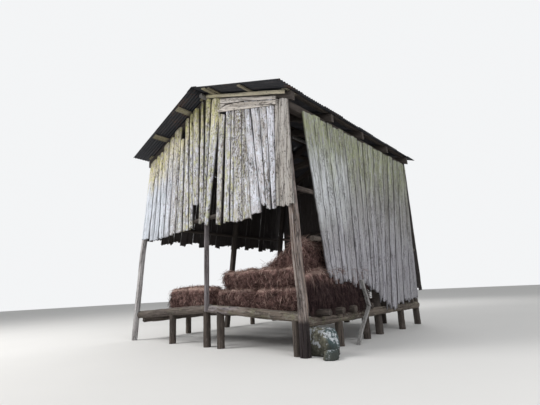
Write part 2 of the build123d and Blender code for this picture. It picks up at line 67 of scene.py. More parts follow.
def set_camera():
    """Camera at the photograph's place, turned, tipped and rolled as it was."""
    yaw, pitch, roll = -0.7225, 0.2382, -0.0496
    place = (ridge_x + 6.4051, -7.9456, 1.1197)
    level = Vector((sin(yaw), cos(yaw), 0))
    side = Vector((cos(yaw), -sin(yaw), 0))
    up = Vector((0, 0, 1))
    ahead = level * cos(pitch) + up * sin(pitch)
    above = -level * sin(pitch) + up * cos(pitch)
    right = side * cos(roll) + above * sin(roll)
    top = -side * sin(roll) + above * cos(roll)
    data = bpy.data.cameras.new("camera")
    data.lens = 24.08
    data.sensor_width = 36
    camera = placed("camera", data)
    turn = Matrix((right, top, -ahead)).transposed().to_4x4()
    camera.matrix_world = Matrix.Translation(place) @ turn
    bpy.context.scene.camera = camera


def area_lamp(name, place, target, size, power, colour):
    data = bpy.data.lights.new(name, "AREA")
    data.shape = "DISK"
    data.size = size
    data.energy = power
    data.color = colour
    lamp = placed(name, data)
    aim = (Vector(target) - Vector(place)).to_track_quat("-Z", "Y")
    lamp.matrix_world = Matrix.Translation(place) @ aim.to_matrix().to_4x4()


set_camera()
area_lamp("sky_left", (-9, -13, 13), (0, -2, 2.5), 9, 2500, (1, 0.99, 0.98))
area_lamp("sky_right", (14, -6, 9), (1, -1, 2.5), 8, 800, (0.97, 0.98, 1))
area_lamp("sky_back", (-3, 15, 12), (0, 0, 3), 9, 600, (1, 1, 1))
bpy.context.scene.view_settings.view_transform = "Standard"


# Materials

class Wire:
    """One output in a material's nodes, which can be used in an expression."""

    def __init__(self, tree, socket=None):
        self.tree = tree
        self.socket = socket

    def node(self, kind, settings, inputs, output=0):
        """Add a node: its settings, then the values or wires of its sockets."""
        made = self.tree.nodes.new(kind)
        for name, value in settings.items():
            if name == "stops":
                ramp = made.color_ramp
                while len(ramp.elements) < len(value):
                    ramp.elements.new(1)
                for stop, (place, colour) in zip(ramp.elements, value):
                    stop.position = place
                    stop.color = (*colour, 1)
            else:
                setattr(made, name, value)
        for name, value in inputs.items():
            socket = made.inputs[name]
            if isinstance(value, Wire):
                self.tree.links.new(value.socket, socket)
            elif socket.type == "RGBA":
                socket.default_value = (*value, 1)
            else:
                socket.default_value = value
        return Wire(self.tree, made.outputs[output])

    def maths(self, operation, first, second):
        return self.node("ShaderNodeMath", {"operation": operation}, {0: first, 1: second})

    def __add__(self, other):
        return self.maths("ADD", self, other)

    def __radd__(self, other):
        return self.maths("ADD", other, self)

    def __sub__(self, other):
        return self.maths("SUBTRACT", self, other)

    def __rsub__(self, other):
        return self.maths("SUBTRACT", other, self)

    def __mul__(self, other):
        return self.maths("MULTIPLY", self, other)

    def __rmul__(self, other):
        return self.maths("MULTIPLY", other, self)

    def size(self):
        """Its distance from 0."""
        return self.node("ShaderNodeMath", {"operation": "ABSOLUTE"}, {0: self})

    def rise(self, low, high):
        """Goes smoothly from 0 at low to 1 at high."""
        values = {"Value": self, "From Min": low, "From Max": high}
        return self.node("ShaderNodeMapRange", {"interpolation_type": "SMOOTHSTEP"}, values)

    def fall(self, low, high):
        """Goes smoothly from 1 at low to 0 at high."""
        return 1 - self.rise(low, high)

    def along(self, axis):
        """How far a place lies along X, Y or Z."""
        return self.node("ShaderNodeSeparateXYZ", {}, {"Vector": self}, axis)

    def stretched(self, x, y, z):
        return self.node("ShaderNodeVectorMath", {"operation": "MULTIPLY"}, {0: self, 1: (x, y, z)})

    def cloud(self, detail=4.0, rough=0.55, scale=1.0, twist=0.0):
        """Soft noise at this place."""
        values = {"Vector": self, "Scale": scale, "Detail": detail, "Roughness": rough,
                  "Distortion": twist}
        return self.node("ShaderNodeTexNoise", {}, values)

    def drawn_out(self, across, along, detail, rough, twist=0.0):
        """Soft noise on the grain, finer across it than along it."""
        return self.stretched(across, across, along).cloud(detail, rough, twist=twist)

    def paint(self, under, over):
        """Colour under where this is 0, and colour over where it is 1."""
        mix = self.tree.nodes.new("ShaderNodeMix")
        mix.data_type = "RGBA"
        self.tree.links.new(self.socket, mix.inputs[0])
        for place, colour in ((6, under), (7, over)):
            if isinstance(colour, Wire):
                self.tree.links.new(colour.socket, mix.inputs[place])
            else:
                mix.inputs[place].default_value = (*colour, 1)
        return Wire(self.tree, mix.outputs[2])


def mark(wire, name):
    """Value of one of the numbers kept on a mesh's points."""
    return wire.node("ShaderNodeAttribute", {"attribute_name": name}, {}, "Fac")


def across_of(place):
    """Distance right of the ridge."""
    return place.along("X") - ridge_x


def finish_with(name, pattern, roughness, depth, metallic=0.0, specular=0.3):
    """Material whose colour, height and, unless it is None, roughness come from a pattern."""
    material = bpy.data.materials.new(name)
    material.use_nodes = True
    tree = material.node_tree
    shader = tree.nodes["Principled BSDF"]
    shader.inputs["Metallic"].default_value = metallic
    shader.inputs["Specular IOR Level"].default_value = specular
    shader.inputs["Roughness"].default_value = roughness
    start = Wire(tree)
    place = start.node("ShaderNodeTexCoord", {}, {}, "Object")
    grain = start.node("ShaderNodeAttribute", {"attribute_name": "grain"}, {}, "Vector")
    colour, height, rough = pattern(place, grain, mark(start, "tone"))
    tree.links.new(colour.socket, shader.inputs["Base Color"])
    if rough is not None:
        tree.links.new(rough.socket, shader.inputs["Roughness"])
    bump = start.node("ShaderNodeBump", {}, {"Strength": 1.0, "Distance": depth, "Height": height})
    tree.links.new(bump.socket, shader.inputs["Normal"])
    return material


# Old wood

def old_wood(name, depth, shades, dark, films=(), crack=0.6, fleck=0.5, clean=None, roughness=0.9):
    """Weathered wood: fibres, long cracks, dark flecks, and films over them of lichen, of damp and of
    painted shade; painted shade also darkens the slab rims and inner faces.

    Each piece takes its own shade from the row of shades by its tone. Each film is a colour, how strong
    it is, and a function that gives where it lies. Where clean is 1, the wood has few flecks.
    """
    stops = [(k / (len(shades) - 1), shade) for k, shade in enumerate(shades)]
    fleck_brown, crack_black = (0.06, 0.05, 0.045), (0.03, 0.025, 0.025)
    rim_shadow, inner_shadow = (0.035, 0.03, 0.03), (0.035, 0.027, 0.025)

    def pattern(place, grain, tone):
        fibre = grain.drawn_out(75, 3.0, 3.0, 0.6)
        streak = grain.drawn_out(22, 1.0, 5.0, 0.65)
        blotch = grain.drawn_out(6, 1.6, 4.0, 0.6)
        split = grain.drawn_out(30, 0.8, 2.0, 0.5, twist=0.4)
        spot = grain.drawn_out(40, 20, 4.0, 0.75)
        gap = (split - 0.5).size().fall(0.004, 0.022)
        flecks = (spot + blotch * 0.5).rise(0.80, 0.90)
        if clean:
            flecks = flecks * (1 - clean(place, grain, tone) * 0.75)
        colour = tone.node("ShaderNodeValToRGB", {"stops": stops}, {"Fac": tone + streak * 0.3 - 0.15})
        colour = (streak.fall(0.30, 0.5) * 0.5).paint(colour, dark)
        colour = (blotch.rise(0.52, 0.72) * 0.35).paint(colour, dark)
        for tint, strength, where in films:
            colour = (where(place, grain, tone) * strength).paint(colour, tint)
        colour = (fibre.fall(0.3, 0.62) * 0.4).paint(colour, dark)
        colour = (flecks * fleck).paint(colour, fleck_brown)
        colour = (gap * crack).paint(colour, crack_black)
        colour = (mark(place, "rim").rise(0.7, 1.0) * 0.5).paint(colour, rim_shadow)
        colour = (mark(place, "inside").rise(0.65, 1.0) * 0.9).paint(colour, inner_shadow)
        return colour, fibre * 0.35 + streak * 0.4 - gap * 0.8 - flecks * 0.5, None

    return finish_with(name, pattern, roughness, depth)


def warm_heads(place, grain, tone):
    """Where the wood stays creamy, close under the roof."""
    x = across_of(place)
    below_roof = place.along("Z") + x.size() * tan(roof_slope)
    mottled = below_roof + grain.drawn_out(5, 1.4, 4.0, 0.65) * 1.5 + tone * 0.35
    return mottled.rise(5.65, 6.45) * x.fall(0.45, 0.75)


def head_moss(place, grain, tone):
    """Yellow-green lichen on the heads under the roof, left of the wide dark gap."""
    return warm_heads(place, grain, tone) * grain.drawn_out(16, 7, 6.0, 0.8).rise(0.44, 0.58)


def corner_slabs(place):
    """The smooth slabs at the right corner of the gable, which stay clean."""
    return across_of(place).rise(2.1, 2.25)


def moss_flecks(place, grain, tone):
    """Mossy flecks down the slabs on both sides of the ridge line."""
    x = across_of(place)
    band = x.rise(-1.4, -0.8) * x.fall(1.2, 1.5)
    return (grain.drawn_out(15, 6, 6.0, 0.8) + tone * 0.06).rise(0.53, 0.64) * band


def bleached(place, grain, tone):
    """The smooth whitish lower part of the slabs on the far left."""
    wave = grain.drawn_out(8, 1.5, 4.0, 0.6) * 0.9
    return (across_of(place) + wave).fall(-1.5, -0.7) * (place.along("Z") + wave).fall(4.1, 4.9)


def pale_film(place, grain, tone):
    """Whitish lichen in soft upright patches."""
    return (grain.drawn_out(12, 4, 6.0, 0.8) - corner_slabs(place)).rise(0.47, 0.57)


def bark_flecks(place, grain, tone):
    """Brown scraps of bark and dark knots, most left of the ridge line."""
    x = across_of(place)
    more = x.rise(-1.3, -0.9) * x.fall(0.2, 0.4) * 0.012
    fewer = corner_slabs(place) * 0.04 + bleached(place, grain, tone) * 0.06
    return (grain.drawn_out(20, 9, 5.0, 0.8) + more - fewer).rise(0.57, 0.61)


def brown_streak(place, grain, tone):
    """Long streaks of fresher brown."""
    return grain.drawn_out(24, 0.5, 3.0, 0.6).rise(0.50, 0.58)


def dark_streak(place, grain, tone):
    """Long dark furrows."""
    return grain.drawn_out(34, 0.7, 4.0, 0.65).fall(0.41, 0.49)


def bluish_flecks(place, grain, tone):
    """Fine pale blue-green crust in specks."""
    specks = grain.drawn_out(26, 13, 5.0, 0.8, twist=0.5).rise(0.54, 0.60)
    return specks * (1 - corner_slabs(place))


def dark_bark(place, grain, tone):
    """Rough brown bark left on the slabs in the middle of the right half."""
    x = across_of(place)
    band = x.rise(0.98, 1.06) * x.fall(1.28, 1.42)
    return (grain.drawn_out(36, 16, 5.0, 0.75) + place.along("Z") * 0.03).rise(0.60, 0.70) * band


def broad_wave(grain):
    """Slow change of tint over the right wall."""
    return grain.drawn_out(6, 1, 4.0, 0.6)


def wall_green(place, grain, tone):
    """Green film on the upper part of the right wall."""
    mottle = grain.drawn_out(24, 5, 5.0, 0.75).rise(0.36, 0.56)
    return (place.along("Z") + broad_wave(grain) * 1.8 + tone * 0.8).rise(4.2, 5.9) * mottle


def wall_lilac(place, grain, tone):
    """Paler lilac grey on the lower part of the right wall."""
    return (place.along("Z") + broad_wave(grain) * 1.6).fall(2.4, 4.0)


def wall_palest(place, grain, tone):
    """The palest part of the right wall, near the front and at middle height."""
    wave = broad_wave(grain) * 1.2
    z = place.along("Z") + wave
    return (place.along("Y") + wave).fall(-0.9, 0.3) * z.rise(2.7, 3.6) * z.fall(4.2, 5.0)


def soft_lichen(place, grain, tone):
    """Pale lichen in long soft patches."""
    return grain.drawn_out(14, 5, 6.0, 0.72).rise(0.52, 0.66)


def damp_foot(place, grain, tone):
    """Dark purple damp at the foot of the near post."""
    return (place.along("Z") + grain.drawn_out(20, 4, 3.0, 0.6) * 0.1).fall(0.58, 0.68)


def sill_moss(place, grain, tone):
    """Moss in patches on the sills."""
    return place.cloud(6.0, 0.75, scale=3.5).rise(0.52, 0.60)


def lilac_stretch(place, grain, tone):
    """The part of the front sill right of the middle post, weathered pale and lilac."""
    x = across_of(place)
    patches = grain.drawn_out(12, 3, 5.0, 0.75).rise(0.42, 0.56)
    return x.rise(-0.2, -0.05) * x.fall(0.5, 1.2) * patches


def left_half(place, grain, tone):
    """The left half of the barn, where the sills are darker."""
    return across_of(place).fall(-0.35, -0.1)


def indoor_shade(place, grain, tone):
    """Painted shade on everything behind the front, away from the light."""
    return place.along("Y").rise(-2.72, -2.5)


gable_slabs = old_wood(
    "gable_slabs", 0.011, crack=0.8, fleck=0.85, clean=bleached, dark=(0.22, 0.18, 0.155),
    shades=[(0.36, 0.33, 0.25), (0.49, 0.465, 0.44), (0.64, 0.61, 0.61), (0.71, 0.71, 0.78)],
    films=[((0.85, 0.87, 0.97), 0.85, pale_film), ((0.72, 0.77, 0.85), 0.85, bleached),
           ((0.58, 0.70, 0.74), 0.65, bluish_flecks), ((0.74, 0.66, 0.53), 0.75, warm_heads),
           ((0.66, 0.63, 0.21), 0.8, head_moss), ((0.60, 0.60, 0.25), 0.78, moss_flecks),
           ((0.12, 0.085, 0.065), 0.9, bark_flecks), ((0.09, 0.06, 0.045), 0.9, dark_bark)])
side_slabs = old_wood(
    "side_slabs", 0.008, crack=0.7, fleck=0.6, dark=(0.20, 0.185, 0.17),
    shades=[(0.29, 0.285, 0.265), (0.38, 0.375, 0.365), (0.48, 0.475, 0.49)],
    films=[((0.48, 0.47, 0.54), 0.6, wall_lilac), ((0.80, 0.83, 0.86), 0.8, wall_palest),
           ((0.40, 0.45, 0.21), 0.7, wall_green), ((0.60, 0.63, 0.64), 0.5, soft_lichen),
           ((0.09, 0.08, 0.07), 0.35, dark_streak)])
grey_wood = old_wood(
    "grey_wood", 0.007, crack=0.7, dark=(0.13, 0.12, 0.11),
    shades=[(0.32, 0.31, 0.29), (0.42, 0.41, 0.41), (0.50, 0.49, 0.50)],
    films=[((0.56, 0.57, 0.56), 0.5, soft_lichen)])
pale_post = old_wood(
    "pale_post", 0.007, crack=0.8, dark=(0.16, 0.14, 0.13),
    shades=[(0.46, 0.44, 0.42), (0.56, 0.54, 0.54)],
    films=[((0.60, 0.62, 0.62), 0.5, soft_lichen)])
lilac_post = old_wood(
    "lilac_post", 0.008, crack=0.8, fleck=0.6, dark=(0.07, 0.058, 0.055),
    shades=[(0.17, 0.15, 0.145), (0.25, 0.225, 0.235)],
    films=[((0.34, 0.32, 0.34), 0.5, soft_lichen)])
post_wood = old_wood(
    "post_wood", 0.012, crack=0.9, dark=(0.08, 0.062, 0.055),
    shades=[(0.29, 0.24, 0.215), (0.38, 0.325, 0.30)],
    films=[((0.46, 0.43, 0.42), 0.55, soft_lichen), ((0.33, 0.215, 0.15), 0.6, brown_streak),
           ((0.055, 0.045, 0.045), 0.8, dark_streak), ((0.013, 0.009, 0.012), 0.96, damp_foot)])
log_wood = old_wood(
    "log_wood", 0.010, crack=0.7, fleck=0.7, dark=(0.05, 0.04, 0.035),
    shades=[(0.14, 0.11, 0.09), (0.20, 0.165, 0.135), (0.28, 0.235, 0.19)],
    films=[((0.40, 0.39, 0.33), 0.55, soft_lichen), ((0.25, 0.25, 0.15), 0.45, sill_moss),
           ((0.38, 0.34, 0.36), 0.7, lilac_stretch), ((0.10, 0.08, 0.075), 0.6, left_half)])
brown_log = old_wood(
    "brown_log", 0.009, crack=0.7, fleck=0.6, dark=(0.03, 0.024, 0.021),
    shades=[(0.07, 0.056, 0.048), (0.105, 0.085, 0.072), (0.15, 0.125, 0.105)],
    films=[((0.24, 0.21, 0.19), 0.45, soft_lichen)])
plank_wood = old_wood(
    "plank_wood", 0.004, crack=0.45, fleck=0.45, roughness=0.88, dark=(0.13, 0.105, 0.08),
    shades=[(0.22, 0.19, 0.14), (0.33, 0.30, 0.22), (0.38, 0.35, 0.27)],
    # The last film is painted shade on the planks behind the front.
    films=[((0.46, 0.42, 0.22), 0.4, head_moss), ((0.035, 0.028, 0.026), 0.95, indoor_shade)])
verge_wood = old_wood(
    "verge_wood", 0.005, crack=0.5, roughness=0.88, dark=(0.30, 0.25, 0.18),
    shades=[(0.68, 0.62, 0.42), (0.74, 0.68, 0.52)],
    films=[((0.76, 0.70, 0.38), 0.8, head_moss), ((0.62, 0.56, 0.50), 0.5, soft_lichen)])
board_wood = old_wood(
    "board_wood", 0.006, crack=0.9, fleck=0.9, dark=(0.22, 0.18, 0.14),
    shades=[(0.56, 0.50, 0.43), (0.70, 0.66, 0.62)],
    films=[((0.78, 0.75, 0.74), 0.5, soft_lichen)])
# Near-black brown for the timbers inside and under the roof: smoky old wood, made darker still as painted
# shade.
dark_wood = old_wood(
    "dark_wood", 0.006, crack=0.5, dark=(0.03, 0.024, 0.022),
    shades=[(0.07, 0.058, 0.05), (0.10, 0.085, 0.075)])


# Steel, hay, stone and floor

def sheet_pattern(place, grain, tone):
    """Dark sheet steel, dull in runs, with rust in specks."""
    steel_dark, steel_light = (0.026, 0.027, 0.033), (0.060, 0.063, 0.074)
    dull_grey, rust_brown = (0.12, 0.12, 0.13), (0.13, 0.065, 0.038)
    stain = place.cloud(5.0, 0.6, scale=1.7)
    speck = place.cloud(4.0, 0.7, scale=22.0)
    run = grain.stretched(14, 0.8, 1).cloud(4.0, 0.6)
    colour = (stain * 0.7 + tone * 0.4).rise(0.3, 0.85).paint(steel_dark, steel_light)
    colour = (run.rise(0.52, 0.72) * 0.4).paint(colour, dull_grey)
    rust = (speck * 0.5 + stain * 0.6 + run * 0.3).rise(0.74, 0.90)
    colour = (rust * 0.7).paint(colour, rust_brown)
    return colour, speck * 0.4 + run * 0.3, 0.5 + stain * 0.3


def old_hay(place, grain, tone):
    """Brown hay gone pinkish with age: tufts, painted shade in the hollows between them, and pale strands,
    most of them a painted highlight on top.
    """
    hay_dark, hay_brown = (0.050, 0.027, 0.024), (0.38, 0.235, 0.21)
    pale_and_highlit_hay, painted_hollow_shade = (0.60, 0.45, 0.385), (0.036, 0.021, 0.020)
    clump = place.cloud(4.0, 0.65, scale=7.0)
    tuft = place.cloud(3.0, 0.6, scale=17.0)
    strand = grain.stretched(80, 13, 13).cloud(4.0, 0.7, twist=0.8)
    mix = strand * 0.4 + clump * 0.4 + tuft * 0.6 + tone * 0.5 - 0.5
    colour = mix.rise(0.22, 0.74).paint(hay_dark, hay_brown)
    # Pale strands: a few at random, most where the tone is high on the tops, as a painted highlight.
    colour = ((tone + tuft * 0.4).rise(0.88, 1.15) * 0.8).paint(colour, pale_and_highlit_hay)
    # Painted shade in the hollows between the tufts.
    colour = (clump.fall(0.34, 0.5) * 0.5).paint(colour, painted_hollow_shade)
    return colour, strand + tuft, None


def hay_in_shade(place, grain, tone):
    """The same hay under the slabs of the right wall, dark towards its foot."""
    deep_shade = (0.020, 0.012, 0.015)
    colour, height, rough = old_hay(place, grain, tone)
    low = (place.along("Z") + place.cloud(3.0, 0.6, scale=3.0) * 0.4).fall(1.30, 1.54)
    return (low * 0.62 + 0.18).paint(colour, deep_shade), height, rough


def stone_pattern(place, grain, tone):
    """Buff stone, blue-green towards its right end, with white lichen on top, and painted shade mixed with
    dark moss towards its foot.
    """
    stone_dark, stone_buff, stone_teal = (0.07, 0.067, 0.052), (0.27, 0.262, 0.20), (0.052, 0.088, 0.098)
    lichen_white, pit_dark, shade_and_moss_dark = (0.60, 0.63, 0.66), (0.07, 0.07, 0.06), (0.045, 0.045, 0.035)
    z = place.along("Z")
    broad = place.cloud(5.0, 0.6, scale=4.0)
    speck = place.cloud(6.0, 0.72, scale=19.0)
    patch = place.cloud(5.0, 0.66, scale=9.0)
    colour = (broad * 0.5 + speck * 0.5).rise(0.35, 0.62).paint(stone_dark, stone_buff)
    right = across_of(place) * 0.82 + place.along("Y") * 0.57 + broad * 0.3
    colour = (right.rise(0.91, 0.97) * 0.85).paint(colour, stone_teal)
    colour = ((patch + z * 0.2).rise(0.59, 0.63) * 0.85).paint(colour, lichen_white)
    colour = (speck.fall(0.36, 0.46) * 0.7).paint(colour, pit_dark)
    # Painted shade, mixed with some dark moss and leaves, darkens the stone towards its foot.
    damp = (z + patch * 0.3).fall(0.22, 0.38)
    colour = (damp * 0.75).paint(colour, shade_and_moss_dark)
    return colour, broad + speck * 0.5 + patch * 0.2, None


def floor_pattern(place, grain, tone):
    faint = place.cloud(2.0, 0.5, scale=0.6)
    return faint.paint((0.74, 0.73, 0.71), (0.77, 0.76, 0.74)), faint, None


sheet_steel = finish_with("sheet_steel", sheet_pattern, 0.5, 0.002, metallic=0.25, specular=0.4)
hay_finish = finish_with("hay_strands", old_hay, 0.95, 0.012, specular=0.15)
shaded_hay = finish_with("shaded_hay_strands", hay_in_shade, 0.95, 0.012, specular=0.15)
stone_finish = finish_with("stone_lichen", stone_pattern, 0.95, 0.012)
floor_finish = finish_with("pale_floor", floor_pattern, 0.9, 0.0005)


# Stage

def lay_floor():
    bm = bmesh.new()
    bmesh.ops.create_circle(bm, cap_ends=True, segments=96, radius=60)
    object_from(bm, "floor", floor_finish)


def pale_world():
    """A pale backdrop for the camera and in reflections, with a dimmer light on the barn."""
    world = bpy.data.worlds.new("pale_world")
    bpy.context.scene.world = world
    world.use_nodes = True
    tree = world.node_tree
    start = Wire(tree)
    seen, gloss, glass = [start.node("ShaderNodeLightPath", {}, {}, "Is %s Ray" % kind)
                          for kind in ("Camera", "Glossy", "Transmission")]
    backdrop = start.node("ShaderNodeBackground", {}, {"Color": (0.90, 0.91, 0.92), "Strength": 1.0})
    light = start.node("ShaderNodeBackground", {}, {"Color": (0.96, 0.98, 1.0), "Strength": 0.42})
    shown = seen.maths("MAXIMUM", seen, gloss.maths("MAXIMUM", gloss, glass))
    mixed = start.node("ShaderNodeMixShader", {}, {0: shown, 1: light, 2: backdrop})
    tree.links.new(mixed.socket, tree.nodes["World Output"].inputs["Surface"])


# Helpers for pieces

def object_from(bm, name, material, sharp=38):
    """Object with this mesh, at the origin, smooth but for its sharp edges."""
    mesh = bpy.data.meshes.new(name)
    bm.to_mesh(mesh)
    bm.free()
    mesh.materials.clear()
    mesh.materials.append(material)
    mesh.polygons.foreach_set("use_smooth", [True] * len(mesh.polygons))
    mesh.set_sharp_from_angle(angle=radians(sharp))
    return placed(name, mesh)


def joined(parts):
    """All these meshes as one."""
    whole = bmesh.new()
    whole.verts.layers.float_vector.new("grain")
    for name in ("tone", "rim", "inside"):
        whole.verts.layers.float.new(name)
    for bm in parts:
        mesh = bpy.data.meshes.new("part")
        bm.to_mesh(mesh)
        bm.free()
        whole.from_mesh(mesh)
        bpy.data.meshes.remove(mesh)
    return whole


def piece_of(parts, name, material, nodes, sharp=38):
    """One piece of these meshes, which rides on the barn and is shown instead of some nodes."""
    piece = object_from(joined(parts), name, material, sharp)
    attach(piece, "root")
    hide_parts(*nodes)
    return piece


def mesh_after(thing):
    """An object's mesh with its modifiers or its section worked in. The object itself goes."""
    graph = bpy.context.evaluated_depsgraph_get()
    mesh = bpy.data.meshes.new_from_object(thing.evaluated_get(graph))
    bpy.data.objects.remove(thing)
    bm = bmesh.new()
    bm.from_mesh(mesh)
    bpy.data.meshes.remove(mesh)
    return bm


def shells_of(bm):
    """The separate shells of a mesh, each as its vertices, always in the same order."""
    bm.verts.index_update()
    seen = [False] * len(bm.verts)
    shells = []
    for vertex in bm.verts:
        if seen[vertex.index]:
            continue
        seen[vertex.index] = True
        shell = [vertex]
        for member in shell:
            for edge in member.link_edges:
                other = edge.other_vert(member)
                if not seen[other.index]:
                    seen[other.index] = True
                    shell.append(other)
        shells.append(shell)
    return shells


def copy_of(node):
    """A node's mesh with its loose corners merged."""
    bm = bmesh.new()
    bm.from_mesh(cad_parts[node].data)
    bmesh.ops.remove_doubles(bm, verts=bm.verts, dist=merge_distance)
    return bm


def middle_of(bm):
    """Mean of a mesh's points, rounded so that solids are sorted alike each time."""
    return tuple(round(sum(v.co[i] for v in bm.verts) / len(bm.verts), 4) for i in range(3))


def clean_solids(node):
    """Each solid of a node as its own mesh of flat faces."""
    whole = copy_of(node)
    bmesh.ops.dissolve_limit(whole, angle_limit=radians(1), verts=whole.verts, edges=whole.edges)
    found = []
    for shell in shells_of(whole):
        single = bmesh.new()
        twin = {vertex.index: single.verts.new(vertex.co) for vertex in shell}
        for face in whole.faces:
            if face.verts[0].index in twin:
                single.faces.new([twin[vertex.index] for vertex in face.verts])
        found.append(single)
    whole.free()
    return sorted(found, key=middle_of)


def corners_of(places):
    """Lowest and highest corner of the box round some places."""
    return [Vector([limit(place[i] for place in places) for i in range(3)]) for limit in (min, max)]


def move_to(bm, places):
    """Put each vertex, in turn, at its new place."""
    for vertex, place in zip(bm.verts, places):
        vertex.co = place


def push_out(bm, amount):
    """Move each vertex along its normal as far as the amount at its place says."""
    move_to(bm, [vertex.co + vertex.normal * amount(vertex.co) for vertex in bm.verts])


def keep_number(bm, name, values):
    """Keep one number for each vertex, in turn."""
    layer = bm.verts.layers.float.get(name) or bm.verts.layers.float.new(name)
    for vertex, value in zip(bm.verts, values):
        vertex[layer] = value


def keep_tone(bm, tone):
    keep_number(bm, "tone", [tone] * len(bm.verts))


def any_way(pick, reach=1):
    """A vector that points any way, as the draws fall."""
    return Vector([pick.uniform(-reach, reach) for _ in range(3)])


def mark_grain(bm, seed, grain):
    """Give each vertex, in turn, its place in the wood's own grain, and the piece its own tone."""
    pick = random.Random(seed)
    start = any_way(pick, 40)
    layer = bm.verts.layers.float_vector.get("grain") or bm.verts.layers.float_vector.new("grain")
    for vertex, place in zip(bm.verts, grain):
        vertex[layer] = start + place
    keep_tone(bm, pick.random())


def rough(x, y, z):
    """Noise from -1 to 1."""
    return noise.fractal(Vector((x, y, z)), 0.6, 2.1, 3)


# Slabs

def cut(bm, place, across):
    """Cut a mesh with a plane and keep both sides."""
    geometry = bm.verts[:] + bm.edges[:] + bm.faces[:]
    bmesh.ops.bisect_plane(bm, geom=geometry, dist=cut_distance, plane_co=place, plane_no=across)


def cut_rows(bm, low, high, spacing):
    """Cut a mesh across its own Y at even steps."""
    steps = max(2, ceil((high - low) / spacing))
    for k in range(1, steps):
        cut(bm, (0, low + (high - low) * k / steps, 0), (0, 1, 0))


def side_lines(bm, outer):
    """The two long edges of a flat slab's outer face, each as its place at height 0 and its lean."""
    face_depth, steepness = 0.005, 0.8
    found = []
    for edge in bm.edges:
        a, b = edge.verts[0].co, edge.verts[1].co
        if min(a.z, b.z) > outer - face_depth and abs(a.y - b.y) > steepness * edge.calc_length():
            lean = (b.x - a.x) / (b.y - a.y)
            found.append((edge.calc_length(), a.x + b.x, a.x - lean * a.y, lean))
    found.sort(key=lambda line: -line[0])
    return [line[2:] for line in sorted(found[:2], key=lambda line: line[1])]


def slab(bm, seed, wane=0.005, bulge=0.012, column=0.03, row=0.06, ragged=0.05, groove=0.005, warp=0.012,
         round_head=0.0):
    """Work one flat slab, whose X runs across, Y up and Z out, into a split one with worn edges."""
    ragged_foot, worn_head = 0.16, 0.12
    knot_height, knot_ring = 0.009, 0.006
    ripple = 0.004
    pick = random.Random(seed)
    low, high = corners_of([v.co for v in bm.verts])
    bottom, top, inner, outer = low.y, high.y, low.z, high.z
    (left_start, left_turn), (right_start, right_turn) = side_lines(bm, outer)
    middle = (top + bottom) / 2
    columns = max(4, round((right_start - left_start + (right_turn - left_turn) * middle) / column))
    for k in range(1, columns):
        start = left_start + (right_start - left_start) * k / columns
        turn = left_turn + (right_turn - left_turn) * k / columns
        cut(bm, (start, 0, 0), Vector((1, -turn, 0)).normalized())
    cut_rows(bm, bottom, top, row)
    knots = [(pick.uniform(0.15, 0.85), pick.uniform(bottom, top), pick.uniform(0.02, 0.04))
             for _ in range(pick.randint(1, 3))]
    shift = pick.uniform(0, 90)
    lift = pick.uniform(-0.2, 0.6) * warp
    lean = pick.uniform(-1, 1) * warp
    crown_height = pick.uniform(0.6, 1.2) * bulge
    hump = pick.uniform(0.35, 0.65)

    def edge_wear(up, broad, fine):
        return wane * (0.5 + 1.1 * rough(up * 2.1, shift, broad) + 0.5 * rough(up * 9, shift, fine))

    moved, grain, rims, insides = [], [], [], []
    for vertex in bm.verts:
        x, y, z = vertex.co
        left, right = left_start + left_turn * y, right_start + right_turn * y
        wide = max(right - left, 0.01)
        s = min(max((x - left) / wide, 0), 1)
        depth = (z - inner) / (outer - inner)
        grain.append(Vector((x - left, z, y)))
        rims.append(1.0 if s < 0.02 or s > 0.98 else 0.0)
        insides.append(1 - depth)
        x += edge_wear(y, 1.7, 5.1) * (1 - s) - edge_wear(y, 8.9, 3.3) * s
        flat = 1 - abs(2 * s - 1) ** 6
        if depth > 0.5:
            z += crown_height * (1 - ((s - hump) / max(hump, 1 - hump)) ** 2)
            z -= 0.3 * (1 - flat) * (outer - inner)
            z += groove * rough((x - left) * 34, y * 0.8, shift) * flat
            z += ripple * rough(s * wide * 12, y * 4.5, shift + 7) * flat
            for place, up, size in knots:
                far = hypot((s - place) * wide, (y - up) * 0.6) / size
                z += knot_height * exp(-far * far) - knot_ring * exp(-(far * 2.6) ** 2)
        z += lift + lean * (s - 0.5) + 0.5 * warp * rough(y * 0.9, shift, 31)
        near_foot = max(0, 1 - (vertex.co.y - bottom) / ragged_foot)
        if near_foot > 0:
            y += ragged * near_foot * (0.35 + rough(s * wide * 22, shift, 13))
        near_head = max(0, 1 - (top - vertex.co.y) / worn_head)
        if near_head > 0:
            y -= 0.25 * ragged * near_head * abs(rough(s * wide * 16, shift, 17))
            y -= round_head * near_head * abs(2 * s - 1) ** 3
        moved.append(Vector((x, y, z)))
    move_to(bm, moved)
    mark_grain(bm, seed, grain)
    keep_number(bm, "rim", rims)
    keep_number(bm, "inside", insides)


def slab_wall(name, node, to_wall, material, seed, tones=(), **look):
    """All slabs of one node, worked in the wall's own upright plane."""
    parts = clean_solids(node)
    for k, bm in enumerate(parts):
        bmesh.ops.transform(bm, matrix=to_wall, verts=bm.verts)
        slab(bm, seed + k, **look)
        if tones:
            keep_tone(bm, tones[k % len(tones)])
        bmesh.ops.transform(bm, matrix=to_wall.inverted(), verts=bm.verts)
    piece_of(parts, name, material, [node], sharp=46)


def long_edges(bm):
    """The longer edges, which run along a mesh's own Y."""
    shortest, steepness = 0.1, 0.5
    found = []
    for edge in bm.edges:
        rise = abs(edge.verts[0].co.y - edge.verts[1].co.y)
        if edge.calc_length() > shortest and rise > steepness * edge.calc_length():
            found.append(edge)
    return found


